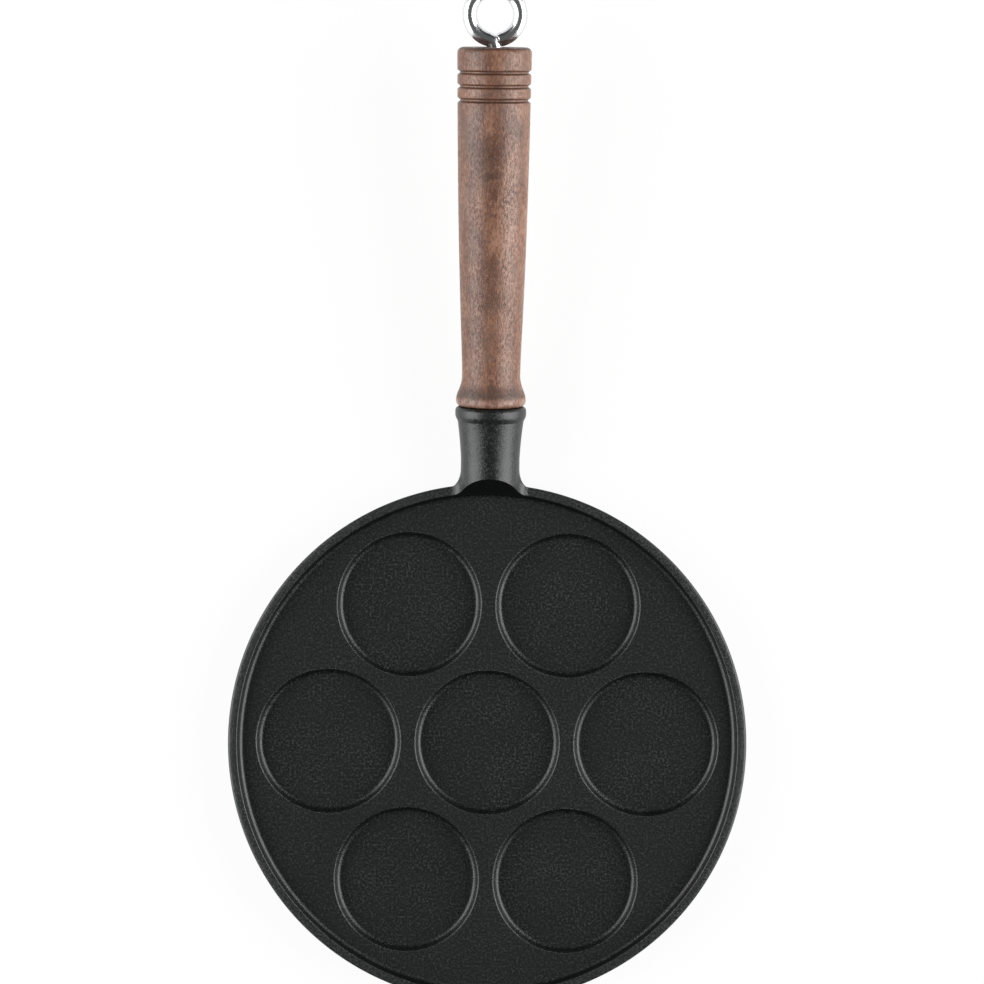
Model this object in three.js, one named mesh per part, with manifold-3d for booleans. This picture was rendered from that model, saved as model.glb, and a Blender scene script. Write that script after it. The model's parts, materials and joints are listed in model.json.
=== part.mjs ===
// A cast-iron pancake pan with seven round wells, a turned wooden grip and a steel hanging eye.
// Millimetres, +Z up. The origin is the middle of the flat base, and the handle runs along +Y.

import * as THREE from 'three';
import { mergeVertices } from 'three/addons/utils/BufferGeometryUtils.js';
import Module from 'manifold-3d';

const wasm = await Module();
wasm.setup();

const degrees = THREE.MathUtils.degToRad;

// Running clearance between pieces that fit into or seat on each other
const CLEARANCE = 0.3;

// Wells in the plate
const WELL_RADIUS = 31.8; // at the plate's surface
const WELL_DEPTH = 5;
const WELL_FLOOR = 5; // iron left under a well
const WELL_LAND = 7; // plate left between neighbouring wells
const WELLS_AROUND = 6; // in a ring around the middle one

// Walls as the foundry casts them
const CASTING_DRAFT = degrees(11); // lean of the wells' and the rim's inner walls
const FOOT_FILLET = 2; // hollow where a wall meets a floor
const BROW_RADIUS = 0.9; // round edge on top of a wall
const BROW_RUN_OUT = 2.7; // how far a brow goes on past its wall
const BROW_LEAN = degrees(8); // lean at which a brow leaves the metal

// Rim
const RIM_LAND = 7.5; // plate left between the outer wells and the rim
const RIM_RISE = 5.2; // rim top above the plate
const RIM_WIDTH = 4.75;
const RIM_EDGE = 1.2; // round outer edge of the rim's top
const RIM_LIP = 2.6; // part of the rim's inner side that the brow takes up
const BASE_INSET = 7; // base stands this far inside the rim
const BASE_EDGE = 3; // round edge of the base

// Neck: the cast socket that carries the grip
const HANDLE_RISE = degrees(7.75);
const NECK_RADIUS = 13; // at its waist beside the rim
const NECK_MOUTH_RADIUS = 14.4; // just behind the bead
const NECK_BEAD_RADIUS = 15.65;
const NECK_BEAD_LENGTH = 8;
const NECK_BEAD_EDGE = 1.9;
const NECK_BEAD_CROWN = 4; // round side of the bead towards the pan
const NECK_WEB = 4.9; // iron between the rod's hole and the rim
const NECK_OFF_TABLE = 1.2; // underside above the base
const ROOT_FILLET = 8; // between the neck's sides and the rim
const ROOT_FROM = degrees(30); // where the root starts, up the neck's flank from its underside
const ROOT_SINK = 0.5; // fillet's ends sunk into the neck and below the rim's top
const FACE_LEAN = degrees(26); // lean of the neck's end that faces the pan's inside

// Grip, measured along the handle from the neck's mouth
const GRIP_LENGTH = 157.4;
const TENON_RADIUS = 9.2;
const TENON_LENGTH = 15.7;
const TENON_CHAMFER = 0.8;
const GRIP_BEAD_RADIUS = 15.4;
const GRIP_BEAD_EDGE = 2.5;
const GRIP_BEAD_LENGTH = 3; // up to where the hollow behind the bead starts
const GRIP_BEAD_EASE = 0.3; // share of the hollow over which it leaves the bead
const GRIP_WAIST_RADIUS = 12.85;
const GRIP_WAIST_AT = 14;
const GRIP_WAIST_EASE = 0.5; // share of the hollow over which it comes in to the waist
const GRIP_SWELL_RADIUS = 16; // where the long swell ends, at the first groove
const GRIP_SWELL_START = 0.09; // share of the swell over which it leaves the waist
const GRIP_SWELL_EASE = 0.38; // share of the swell by which it has nearly its full girth
const GRIP_SWELL_TAPER = 0.0073; // growth per length from there on
const GRIP_END_RADIUS = 16.3;
const GRIP_END_EDGE = 1.7;
const GROOVE_COUNT = 3;
const GROOVE_PITCH = 6.05;
const GROOVE_WIDTH = 1.9;
const GROOVE_DEPTH = 0.95;
const GROOVE_END_BAND = 10.9; // from the grip's end to the middle of the outermost groove
const BORE_COUNTERSINK = 0.8; // the bore's edge at the grip's end

// Eye rod
const WIRE_RADIUS = 3.15;
const THREAD_RADIUS = 3; // turned down at the end for the thread
const THREAD_LENGTH = 12.7; // screwed into the neck
const THREAD_CHAMFER = 0.7;
const EYE_RADIUS = 11.1; // to the middle of the wire
const EYE_BEND_RADIUS = 4; // where the shank turns into the eye
const EYE_MOUTH = 0.35; // gap left between the wire's cut end and the shank

// Facets
const PAN_SIDES = 72;
const WELL_SIDES = 36;
const TURNED_SIDES = 32;
const BORE_SIDES = 24;
const WIRE_SIDES = 12;
const BEND_STEPS = 6;
const EYE_STEPS = 28;
const ARC_STEP = degrees(40); // longest arc that one facet covers
const ARC_ROOM = 0.95; // share of a side that a rounded corner may take up
const CURVE_STEPS = 6;
const ROOT_STEPS = 4;

// Levels and radii that follow from the sizes above
const plateTop = WELL_FLOOR + WELL_DEPTH;
const rimTop = plateTop + RIM_RISE;
const wellSpacing = 2 * WELL_RADIUS + WELL_LAND;
const wellPitchRadius = wellSpacing / Math.min(1, 2 * Math.sin(Math.PI / WELLS_AROUND));
const plateRadius = wellPitchRadius + WELL_RADIUS + RIM_LAND;
const rimInside = plateRadius + RIM_RISE * Math.tan(CASTING_DRAFT);
const panRadius = rimInside + RIM_WIDTH;
const socketDepth = TENON_LENGTH + CLEARANCE;
const threadHoleDepth = THREAD_LENGTH + CLEARANCE;
const neckLength = socketDepth + threadHoleDepth + NECK_WEB;
const neckAxisHeight = NECK_RADIUS + NECK_OFF_TABLE;
const gripEnd = CLEARANCE + GRIP_LENGTH;

// The handle's own frame: +Y runs out along the handle from the neck's mouth, +X stays level
const handle = new THREE.Group();
handle.rotation.x = HANDLE_RISE;
handle.position.set(
  0,
  panRadius + neckLength * Math.cos(HANDLE_RISE),
  neckAxisHeight + neckLength * Math.sin(HANDLE_RISE),
);
handle.updateMatrix();

const at = (radius, height, rounding = 0) => ({ point: new THREE.Vector2(radius, height), rounding });

// Points of an outline whose corners may be rounded by true arcs
function outline(corners) {
  return corners.flatMap(({ point, rounding }, index) => {
    const before = corners[index - 1]?.point;
    const after = corners[index + 1]?.point;
    return rounding && before && after ? cornerArc(before, point, after, rounding) : [point];
  });
}

function cornerArc(before, corner, after, rounding) {
  const back = before.clone().sub(corner);
  const onward = after.clone().sub(corner);
  const halfAngle = Math.acos(back.clone().normalize().dot(onward.clone().normalize())) / 2;
  const room = Math.min(back.length(), onward.length()) * ARC_ROOM;
  const reach = Math.min(rounding / Math.tan(halfAngle), room);
  const radius = reach * Math.tan(halfAngle);
  const start = back.clone().setLength(reach).add(corner);
  const end = onward.clone().setLength(reach).add(corner);
  const towardCentre = start.clone().add(end).multiplyScalar(0.5).sub(corner);
  const centre = towardCentre.setLength(Math.hypot(reach, radius)).add(corner);
  const from = start.clone().sub(centre).angle();
  const to = end.clone().sub(centre).angle();
  const clockwise = back.cross(onward) > 0;
  const steps = Math.ceil((Math.PI - 2 * halfAngle) / ARC_STEP);
  return new THREE.EllipseCurve(centre.x, centre.y, radius, radius, from, to, clockwise).getPoints(steps);
}

function solidOf(geometry) {
  const bare = geometry.clone().deleteAttribute('normal').deleteAttribute('uv');
  const merged = mergeVertices(bare);
  const vertProperties = Float32Array.from(merged.attributes.position.array);
  const triVerts = Uint32Array.from(merged.index.array);
  return new wasm.Manifold(new wasm.Mesh({ numProp: 3, vertProperties, triVerts }));
}

function geometryOf(solid) {
  const mesh = solid.getMesh();
  const geometry = new THREE.BufferGeometry();
  geometry.setAttribute('position', new THREE.BufferAttribute(mesh.vertProperties, 3));
  geometry.setIndex(new THREE.BufferAttribute(mesh.triVerts, 1));
  geometry.computeVertexNormals();
  return geometry;
}

// A solid turned about +Y, the way LatheGeometry turns its outline
const turned = (points, sides) => new THREE.LatheGeometry(points, sides);

// A solid turned about the pan's upright axis
const turnedUpright = (points, sides) => turned(points, sides).rotateX(Math.PI / 2);

// The pan before its inside is cut out, with the rim's outer and inner edges already round
function panBlank() {
  const insideLean = Math.tan(CASTING_DRAFT + BROW_LEAN);
  const profile = outline([
    at(0, 0),
    at(panRadius - BASE_INSET, 0, BASE_EDGE),
    at(panRadius, rimTop, RIM_EDGE),
    at(rimInside, rimTop, BROW_RADIUS),
    at(rimInside - RIM_LIP * insideLean, rimTop - RIM_LIP),
    at(0, rimTop - RIM_LIP),
  ]);
  return solidOf(turnedUpright(profile, PAN_SIDES));
}

// The space inside the rim, which goes on upward to cut the neck's end at its own lean
function panInside() {
  const reachUp = rimTop + 2 * NECK_BEAD_RADIUS;
  const profile = outline([
    at(0, plateTop),
    at(plateRadius, plateTop, FOOT_FILLET),
    at(rimInside, rimTop),
    at(rimInside + (reachUp - rimTop) * Math.tan(FACE_LEAN), reachUp),
    at(0, reachUp),
  ]);
  return solidOf(turnedUpright(profile, PAN_SIDES));
}

// One well's space: flat floor, drafted wall, and a brow that runs out above the plate
function wellSpace(x, y) {
  const runOutRise = BROW_RUN_OUT * Math.tan(BROW_LEAN);
  const footRadius = WELL_RADIUS - WELL_DEPTH * Math.tan(CASTING_DRAFT);
  const profile = outline([
    at(0, WELL_FLOOR),
    at(footRadius, WELL_FLOOR, FOOT_FILLET),
    at(WELL_RADIUS, plateTop, BROW_RADIUS),
    at(WELL_RADIUS + BROW_RUN_OUT, plateTop + runOutRise),
    at(0, plateTop + runOutRise),
  ]);
  return solidOf(turnedUpright(profile, WELL_SIDES).translate(x, y, 0));
}

function wellCentres() {
  const centres = [[0, 0]];
  for (let index = 0; index < WELLS_AROUND; index += 1) {
    const angle = (index * 2 * Math.PI) / WELLS_AROUND;
    centres.push([wellPitchRadius * Math.cos(angle), wellPitchRadius * Math.sin(angle)]);
  }
  return centres;
}

// The neck's outside, turned about the handle's axis, with its inner end buried in the rim
function neckBody() {
  const buriedEnd = -neckLength - RIM_WIDTH - RIM_RISE;
  const profile = outline([
    at(0, buriedEnd),
    at(NECK_RADIUS, buriedEnd),
    at(NECK_RADIUS, -neckLength + ROOT_FILLET),
    at(NECK_MOUTH_RADIUS, -NECK_BEAD_LENGTH, NECK_BEAD_EDGE),
    at(NECK_BEAD_RADIUS, -NECK_BEAD_LENGTH / 2, NECK_BEAD_CROWN),
    at(NECK_BEAD_RADIUS, 0, NECK_BEAD_EDGE),
    at(0, 0),
  ]);
  return solidOf(turned(profile, TURNED_SIDES).applyMatrix4(handle.matrix));
}

const neckHalfWidth = (height) => Math.sqrt(Math.max(0, NECK_RADIUS ** 2 - (height - neckAxisHeight) ** 2));

// The root's outline at one height: a fillet from the rim's outside to the neck's side.
// Spread is 1 where the fillet meets the rim in full, and less above the rim's top.
function rootRing(height, spread) {
  const wallHeight = Math.min(height, rimTop);
  const wallRadius = panRadius - BASE_INSET * (1 - wallHeight / rimTop) - RIM_EDGE;
  const halfWidth = neckHalfWidth(height) - ROOT_SINK;
  const centreX = halfWidth + ROOT_FILLET;
  const centreY = Math.sqrt((wallRadius + ROOT_FILLET) ** 2 - centreX ** 2);
  const fromWall = Math.atan2(-centreY, -centreX);
  const arc = new THREE.EllipseCurve(centreX, centreY, ROOT_FILLET, ROOT_FILLET, fromWall, -Math.PI, true);
  const rightHalf = arc.getPoints(ROOT_STEPS);
  rightHalf.unshift(new THREE.Vector2(rightHalf[0].x, rightHalf[0].y - RIM_WIDTH));
  const place = (point, side) => {
    const sideways = halfWidth + (point.x - halfWidth) * spread;
    return new THREE.Vector3(side * sideways, point.y, height);
  };
  const right = rightHalf.map((point) => place(point, 1));
  const left = rightHalf.map((point) => place(point, -1)).reverse();
  return [...right, ...left];
}

// The web that carries the neck into the rim: it follows the rim's wall from the neck's underside
// to the rim's top, then rises to the neck's flanks on a fillet of its own
function neckRoot() {
  const rings = [];
  const underside = neckAxisHeight - NECK_RADIUS * Math.cos(ROOT_FROM);
  const top = rimTop - ROOT_SINK;
  for (let step = 0; step < ROOT_STEPS; step += 1) {
    rings.push(rootRing(THREE.MathUtils.lerp(underside, top, step / ROOT_STEPS), 1));
  }
  const centreHeight = top + ROOT_FILLET;
  const centreX = Math.sqrt((NECK_RADIUS + ROOT_FILLET) ** 2 - (centreHeight - neckAxisHeight) ** 2);
  const toNeck = Math.atan2(neckAxisHeight - centreHeight, -centreX);
  const fillet = new THREE.EllipseCurve(
    centreX, centreHeight, ROOT_FILLET, ROOT_FILLET, -Math.PI / 2, toNeck, true,
  );
  const fullSpread = centreX - neckHalfWidth(top);
  fillet.getPoints(ROOT_STEPS).forEach((point) => {
    rings.push(rootRing(point.y, (point.x - neckHalfWidth(point.y)) / fullSpread));
  });
  return solidOf(loft(rings));
}

// A closed solid through level rings that hold the same number of points, listed from below.
// Each four-sided stretch is split along its shorter diagonal.
function loft(rings) {
  const size = rings[0].length;
  const points = rings.flat();
  const index = [];
  for (let level = 0; level < rings.length - 1; level += 1) {
    for (let corner = 0; corner < size; corner += 1) {
      const here = level * size + corner;
      const beside = level * size + ((corner + 1) % size);
      const above = here + size;
      const across = beside + size;
      if (points[here].distanceTo(points[across]) < points[beside].distanceTo(points[above])) {
        index.push(here, beside, across, here, across, above);
      } else {
        index.push(here, beside, above, beside, across, above);
      }
    }
  }
  const lastRing = (rings.length - 1) * size;
  const flat = (ring) => ring.map((point) => new THREE.Vector2(point.x, point.y));
  THREE.ShapeUtils.triangulateShape(flat(rings[0]), []).forEach(([a, b, c]) => index.push(a, c, b));
  THREE.ShapeUtils.triangulateShape(flat(rings.at(-1)), []).forEach(([a, b, c]) => {
    index.push(lastRing + a, lastRing + b, lastRing + c);
  });
  return new THREE.BufferGeometry().setFromPoints(points).setIndex(index);
}

// Socket for the grip's tenon, with the rod's threaded hole behind it
function neckBores() {
  const pastMouth = NECK_BEAD_EDGE;
  const threadHole = THREAD_RADIUS + CLEARANCE;
  const socket = TENON_RADIUS + CLEARANCE;
  const profile = outline([
    at(0, -socketDepth - threadHoleDepth),
    at(threadHole, -socketDepth - threadHoleDepth),
    at(threadHole, -socketDepth),
    at(socket, -socketDepth),
    at(socket, pastMouth),
    at(0, pastMouth),
  ]);
  return solidOf(turned(profile, BORE_SIDES).applyMatrix4(handle.matrix));
}

function panCasting() {
  const wells = wellCentres().map(([x, y]) => wellSpace(x, y));
  const cuts = [panInside(), neckBores(), ...wells];
  const blank = panBlank().add(neckBody()).add(neckRoot());
  return geometryOf(cuts.reduce((casting, cut) => casting.subtract(cut), blank));
}

// V-grooves near the grip's outer end, listed from the neck outward
function gripGrooves() {
  const grooves = [];
  for (let index = GROOVE_COUNT - 1; index >= 0; index -= 1) {
    const middle = gripEnd - GROOVE_END_BAND - index * GROOVE_PITCH;
    grooves.push(
      at(GRIP_END_RADIUS, middle - GROOVE_WIDTH / 2),
      at(GRIP_END_RADIUS - GROOVE_DEPTH, middle),
      at(GRIP_END_RADIUS, middle + GROOVE_WIDTH / 2),
    );
  }
  return grooves;
}

// Smooth stretches of the grip: the hollow behind its end bead, then the long swell to the grooves
function gripCurves(swellEnd) {
  const hollowRun = GRIP_WAIST_AT - GRIP_BEAD_LENGTH;
  const swellRun = swellEnd - GRIP_WAIST_AT;
  const fullGirth = GRIP_SWELL_RADIUS - swellRun * GRIP_SWELL_TAPER;
  const hollow = new THREE.CubicBezierCurve(
    new THREE.Vector2(GRIP_BEAD_RADIUS, GRIP_BEAD_LENGTH),
    new THREE.Vector2(GRIP_BEAD_RADIUS, GRIP_BEAD_LENGTH + hollowRun * GRIP_BEAD_EASE),
    new THREE.Vector2(GRIP_WAIST_RADIUS, GRIP_WAIST_AT - hollowRun * GRIP_WAIST_EASE),
    new THREE.Vector2(GRIP_WAIST_RADIUS, GRIP_WAIST_AT),
  );
  const swell = new THREE.CubicBezierCurve(
    new THREE.Vector2(GRIP_WAIST_RADIUS, GRIP_WAIST_AT),
    new THREE.Vector2(GRIP_WAIST_RADIUS, GRIP_WAIST_AT + swellRun * GRIP_SWELL_START),
    new THREE.Vector2(fullGirth, GRIP_WAIST_AT + swellRun * GRIP_SWELL_EASE),
    new THREE.Vector2(GRIP_SWELL_RADIUS, swellEnd),
  );
  const points = [...hollow.getPoints(CURVE_STEPS), ...swell.getPoints(CURVE_STEPS).slice(1)];
  return points.map((point) => at(point.x, point.y));
}

function gripBody() {
  const bore = WIRE_RADIUS + CLEARANCE;
  const grooves = gripGrooves();
  const swellEnd = grooves[0].point.y - GROOVE_WIDTH / 2;
  const profile = outline([
    at(bore, -TENON_LENGTH),
    at(TENON_RADIUS - TENON_CHAMFER, -TENON_LENGTH),
    at(TENON_RADIUS, -TENON_LENGTH + TENON_CHAMFER),
    at(TENON_RADIUS, CLEARANCE),
    at(GRIP_BEAD_RADIUS, CLEARANCE, GRIP_BEAD_EDGE),
    ...gripCurves(swellEnd),
    ...grooves,
    at(GRIP_END_RADIUS, gripEnd, GRIP_END_EDGE),
    at(bore + BORE_COUNTERSINK, gripEnd),
    at(bore, gripEnd - BORE_COUNTERSINK),
    at(bore, -TENON_LENGTH),
  ]);
  return geometryOf(solidOf(turned(profile, TURNED_SIDES)));
}

// Middle line of the rod: straight shank, a short bend to the left, then round the eye
class EyeRodLine extends THREE.Curve {
  constructor() {
    super();
    const swing = Math.asin(EYE_BEND_RADIUS / (EYE_BEND_RADIUS + EYE_RADIUS));
    const wireReach = EYE_RADIUS + WIRE_RADIUS;
    this.mouthAngle = Math.asin((WIRE_RADIUS + EYE_MOUTH) / wireReach);
    this.eyeHeight = gripEnd + CLEARANCE + wireReach * Math.cos(Math.min(this.mouthAngle, swing));
    this.bendHeight = this.eyeHeight - (EYE_BEND_RADIUS + EYE_RADIUS) * Math.cos(swing);
    this.bendTurn = Math.PI / 2 - swing;
    this.eyeTurn = 2 * Math.PI - swing - this.mouthAngle;
    this.eyeStart = -Math.PI / 2 - swing;
    const threadEnd = -socketDepth;
    const tip = threadEnd - THREAD_LENGTH;
    this.shank = [tip, tip + THREAD_CHAMFER, threadEnd, threadEnd + THREAD_CHAMFER, this.bendHeight];
    this.stations = this.shank.length - 1 + BEND_STEPS + EYE_STEPS;
  }

  // Stations are spaced by what each stretch needs, so the parameter isn't measured by length
  getUtoTmapping(share) {
    return share;
  }

  getPoint(share, target = new THREE.Vector3()) {
    const station = share * this.stations;
    const shankEnd = this.shank.length - 1;
    const bendEnd = shankEnd + BEND_STEPS;
    if (station <= shankEnd) {
      const index = Math.min(Math.floor(station), shankEnd - 1);
      const height = THREE.MathUtils.lerp(this.shank[index], this.shank[index + 1], station - index);
      return target.set(0, height, 0);
    }
    if (station <= bendEnd) {
      const turn = ((station - shankEnd) / BEND_STEPS) * this.bendTurn;
      const sideways = EYE_BEND_RADIUS * (Math.cos(turn) - 1);
      return target.set(sideways, this.bendHeight + EYE_BEND_RADIUS * Math.sin(turn), 0);
    }
    const angle = this.eyeStart - ((station - bendEnd) / EYE_STEPS) * this.eyeTurn;
    const height = this.eyeHeight + EYE_RADIUS * Math.sin(angle);
    return target.set(EYE_RADIUS * Math.cos(angle), height, 0);
  }
}

// The rod's end is turned down to the thread's diameter and chamfered
function turnDownThread(geometry, line) {
  const [tip, chamferEnd, threadEnd] = line.shank;
  const position = geometry.attributes.position;
  for (let index = 0; index < position.count; index += 1) {
    const height = position.getY(index);
    const middle = (chamferEnd + tip) / 2;
    const radius = height < middle ? THREAD_RADIUS - THREAD_CHAMFER : THREAD_RADIUS;
    if (height < threadEnd + THREAD_CHAMFER / 2) {
      const scale = radius / WIRE_RADIUS;
      position.setX(index, position.getX(index) * scale);
      position.setZ(index, position.getZ(index) * scale);
    }
  }
  return geometry;
}

function eyeRod() {
  const line = new EyeRodLine();
  const section = new THREE.Shape().absarc(0, 0, WIRE_RADIUS, 0, 2 * Math.PI);
  const round = new THREE.Shape(section.getSpacedPoints(WIRE_SIDES).slice(0, WIRE_SIDES));
  const wire = new THREE.ExtrudeGeometry(round, { extrudePath: line, steps: line.stations });
  return geometryOf(solidOf(turnDownThread(wire, line)));
}

function piece(name, geometry, color, roughness, metalness) {
  const mesh = new THREE.Mesh(geometry, new THREE.MeshStandardMaterial({ color, roughness, metalness }));
  mesh.name = name;
  return mesh;
}

handle.add(
  piece('handle_grip', gripBody(), 0x7a5846, 0.5, 0),
  piece('eye_rod', eyeRod(), 0xc9cccd, 0.18, 1),
);

const pan = new THREE.Group();
pan.add(piece('pan_casting', panCasting(), 0x2b2d2c, 0.55, 0.4), handle);

export default pan;
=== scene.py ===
# %% [markdown]
# # A cast-iron pancake pan
# The real pan is three things: one iron casting, one turned wooden grip, and one bent steel rod that
# holds the two together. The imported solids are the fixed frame. They say where each piece is and
# what moves, and this lesson puts a finer skin on them: true arcs in place of facets, cast grain,
# wood figure, and the light of a plain studio.

# %% The fixed frame
import json
import math

import bmesh
import bpy
from mathutils import Matrix, Vector
from mathutils.geometry import interpolate_bezier


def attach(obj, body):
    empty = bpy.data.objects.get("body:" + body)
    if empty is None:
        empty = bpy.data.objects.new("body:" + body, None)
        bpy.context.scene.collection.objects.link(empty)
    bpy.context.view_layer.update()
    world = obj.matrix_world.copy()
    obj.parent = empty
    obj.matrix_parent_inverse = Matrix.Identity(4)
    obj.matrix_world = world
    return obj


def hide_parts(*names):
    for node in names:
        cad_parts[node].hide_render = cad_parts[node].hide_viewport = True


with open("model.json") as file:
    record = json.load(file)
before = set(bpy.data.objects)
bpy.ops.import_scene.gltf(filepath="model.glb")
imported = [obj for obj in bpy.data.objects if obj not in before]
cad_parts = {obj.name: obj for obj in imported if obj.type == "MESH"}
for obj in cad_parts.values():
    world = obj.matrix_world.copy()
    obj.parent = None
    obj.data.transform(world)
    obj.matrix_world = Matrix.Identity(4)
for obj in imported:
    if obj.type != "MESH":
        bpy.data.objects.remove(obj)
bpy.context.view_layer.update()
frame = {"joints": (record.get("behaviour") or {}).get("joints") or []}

MM = 0.001

# %% [markdown]
# ## The handle's line
# Neck, grip and rod share one straight line that climbs away from the pan. The frame's joint for the
# hanging eye already holds that line, so it is read from there and not typed again. A point of the
# handle is then written the way a turner would: how far out from the line, how far along it.

# %% The handle's line
eye_turn = next(joint for joint in frame["joints"] if joint["name"] == "eye_turn")
neck_mouth = Vector(eye_turn["pos_m"])
along = Vector(eye_turn["axis"]).normalized()
sideways = Vector((1, 0, 0))
upward = sideways.cross(along)
handle_rise = math.atan2(along.z, along.y)


def on_handle(radius, distance):
    return neck_mouth + along * distance + upward * radius


def on_pan(radius, height):
    return Vector((radius, 0, height))


print("the handle climbs at", round(math.degrees(handle_rise), 2), "degrees")

# %% [markdown]
# ## Drawing an outline and turning it
# Almost everything here is round, so it is drawn as half an outline and turned, on a lathe for the
# grip or in a swept mould for the casting. A wire of a few corners is enough. Bevelling a corner of
# the wire lays an arc there, and a full spin with its seam merged makes the skin. Vertices typed one
# by one would give the same skin and hide what the shape is.

# %% Outline and lathe
ROUND_STEPS = 8
EDGE_SHARE = 0.98
LONGEST_EDGE = 2 * MM
MERGE = 0.002 * MM


def round_corner(mesh, vert, radius):
    first, second = (edge.other_vert(vert).co - vert.co for edge in vert.link_edges)
    reach = radius / math.tan(first.angle(second) / 2)
    room = EDGE_SHARE * min(first.length, second.length)
    bmesh.ops.bevel(
        mesh, geom=[vert], offset=min(reach, room),
        offset_type="ABSOLUTE", affect="VERTICES", segments=ROUND_STEPS, profile=0.5, material=-1,
    )


def turn_outline(corners, place, axis, steps, closed=False):
    """A wire through (out, along, rounding) corners, turned about an axis through place(0, 0)."""
    mesh = bmesh.new()
    verts = [mesh.verts.new(place(out, far)) for out, far, *_ in corners]
    for first, second in zip(verts, verts[1:] + verts[:1] if closed else verts[1:]):
        mesh.edges.new((first, second))
    for vert, corner in zip(verts, corners):
        if len(corner) > 2:
            round_corner(mesh, vert, corner[2])
    for edge in [edge for edge in mesh.edges if edge.calc_length() > LONGEST_EDGE]:
        cuts = math.ceil(edge.calc_length() / LONGEST_EDGE) - 1
        bmesh.ops.subdivide_edges(mesh, edges=[edge], cuts=cuts)
    bmesh.ops.spin(
        mesh, geom=mesh.verts[:] + mesh.edges[:], cent=place(0, 0), axis=axis, angle=2 * math.pi,
        steps=steps, use_merge=True,
    )
    bmesh.ops.remove_doubles(mesh, verts=mesh.verts, dist=MERGE)
    return mesh


def turn_on_handle(corners, steps, closed=False):
    return turn_outline(corners, on_handle, along, steps, closed)


def turn_on_pan(corners, steps):
    return turn_outline(corners, on_pan, Vector((0, 0, 1)), steps)


print("no edge of an outline is longer than", round(LONGEST_EDGE / MM, 1), "mm")

# %% [markdown]
# ## From loose mesh to finished piece
# Every piece ends the same way: normals that point out of the metal or wood, smooth shading with the
# true corners kept sharp, an object that sits at the origin, and a ride on the body that carries it.

# %% Finishing a piece
SHARP_CORNER = math.radians(38)


def shade(mesh):
    for face in mesh.faces:
        face.smooth = True
    for edge in mesh.edges:
        edge.smooth = edge.calc_face_angle(0) < SHARP_CORNER


def new_object(name, mesh):
    bmesh.ops.recalc_face_normals(mesh, faces=mesh.faces)
    shade(mesh)
    data = bpy.data.meshes.new(name)
    mesh.to_mesh(data)
    mesh.free()
    item = bpy.data.objects.new(name, data)
    bpy.context.scene.collection.objects.link(item)
    return item


def dress(item, node, body, finish):
    item.data.materials.clear()
    item.data.materials.append(finish)
    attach(item, body)
    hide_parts(node)
    print(item.name, "has", len(item.data.polygons), "faces and rides on", body)


def cut_with(item, tool, operation):
    """Joins or cuts an object with a second one, which is used up."""
    modifier = item.modifiers.new("cut", "BOOLEAN")
    modifier.operation = operation
    modifier.solver = "EXACT"
    modifier.object = tool
    graph = bpy.context.evaluated_depsgraph_get()
    result = bpy.data.meshes.new_from_object(item.evaluated_get(graph))
    item.modifiers.clear()
    item.data = result
    bpy.data.objects.remove(tool)


print("corners over", round(math.degrees(SHARP_CORNER)), "degrees stay sharp")

# %% [markdown]
# ## The casting's plate, rim and wells
# The pan is poured in sand, so no wall is upright: walls lean by a draft, floors meet them in small
# hollows, and every top edge is round. Seven wells could be cut with a boolean, but then each rim of
# a well would be a knife edge. Here the outside, the rim and each well are turned on their own and end
# in a ring on the plate. Filling between the rings makes the plate, so every brow runs into it smoothly.

# %% Plate, rim and wells
DRAFT = math.tan(math.radians(11))
FOOT_FILLET = 2 * MM
BROW = 0.9 * MM
WELL_RADIUS = 31.8 * MM
WELL_FLOOR = 5 * MM
PLATE_TOP = 10 * MM
WELL_PITCH = 70.6 * MM
WELLS_AROUND = 6
RIM_LAND = 7.5 * MM
RIM_TOP = 15.2 * MM
RIM_WIDTH = 4.61 * MM
RIM_EDGE = 1.2 * MM
RIM_CREST = 1.3 * MM
RIM_CREST_ROUND = 9.5 * MM
RIM_FALL_IN = 0.08 * MM
RIM_FALL_OUT = 0.38 * MM
BASE_INSET = 7 * MM
BASE_EDGE = 3 * MM
FLAT_RING = 1.6 * MM
PAN_STEPS = 256
WELL_STEPS = 144

plate_radius = WELL_PITCH + WELL_RADIUS + RIM_LAND
rim_inside = plate_radius + (RIM_TOP - PLATE_TOP) * DRAFT
pan_radius = rim_inside + RIM_WIDTH
well_foot = WELL_RADIUS - (PLATE_TOP - WELL_FLOOR) * DRAFT

casting = turn_on_pan([
    (0, WELL_FLOOR),
    (well_foot, WELL_FLOOR, FOOT_FILLET),
    (WELL_RADIUS, PLATE_TOP, BROW),
    (WELL_RADIUS + FLAT_RING, PLATE_TOP),
], WELL_STEPS)
middle_well = casting.verts[:] + casting.edges[:] + casting.faces[:]
for number in range(WELLS_AROUND):
    copied = bmesh.ops.duplicate(casting, geom=middle_well)["geom"]
    verts = [part for part in copied if isinstance(part, bmesh.types.BMVert)]
    turn = Matrix.Rotation(number * 2 * math.pi / WELLS_AROUND, 3, "Z")
    bmesh.ops.translate(casting, verts=verts, vec=turn @ Vector((WELL_PITCH, 0, 0)))

outside = turn_on_pan([
    (0, 0),
    (pan_radius - BASE_INSET, 0, BASE_EDGE),
    (pan_radius, RIM_TOP - RIM_FALL_OUT, RIM_EDGE),
    (rim_inside + RIM_CREST, RIM_TOP, RIM_CREST_ROUND),
    (rim_inside, RIM_TOP - RIM_FALL_IN, BROW),
    (plate_radius, PLATE_TOP, FOOT_FILLET),
    (plate_radius - FOOT_FILLET - FLAT_RING, PLATE_TOP),
], PAN_STEPS)
outside_mesh = bpy.data.meshes.new("outside")
outside.to_mesh(outside_mesh)
outside.free()
casting.from_mesh(outside_mesh)
bpy.data.meshes.remove(outside_mesh)

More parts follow.
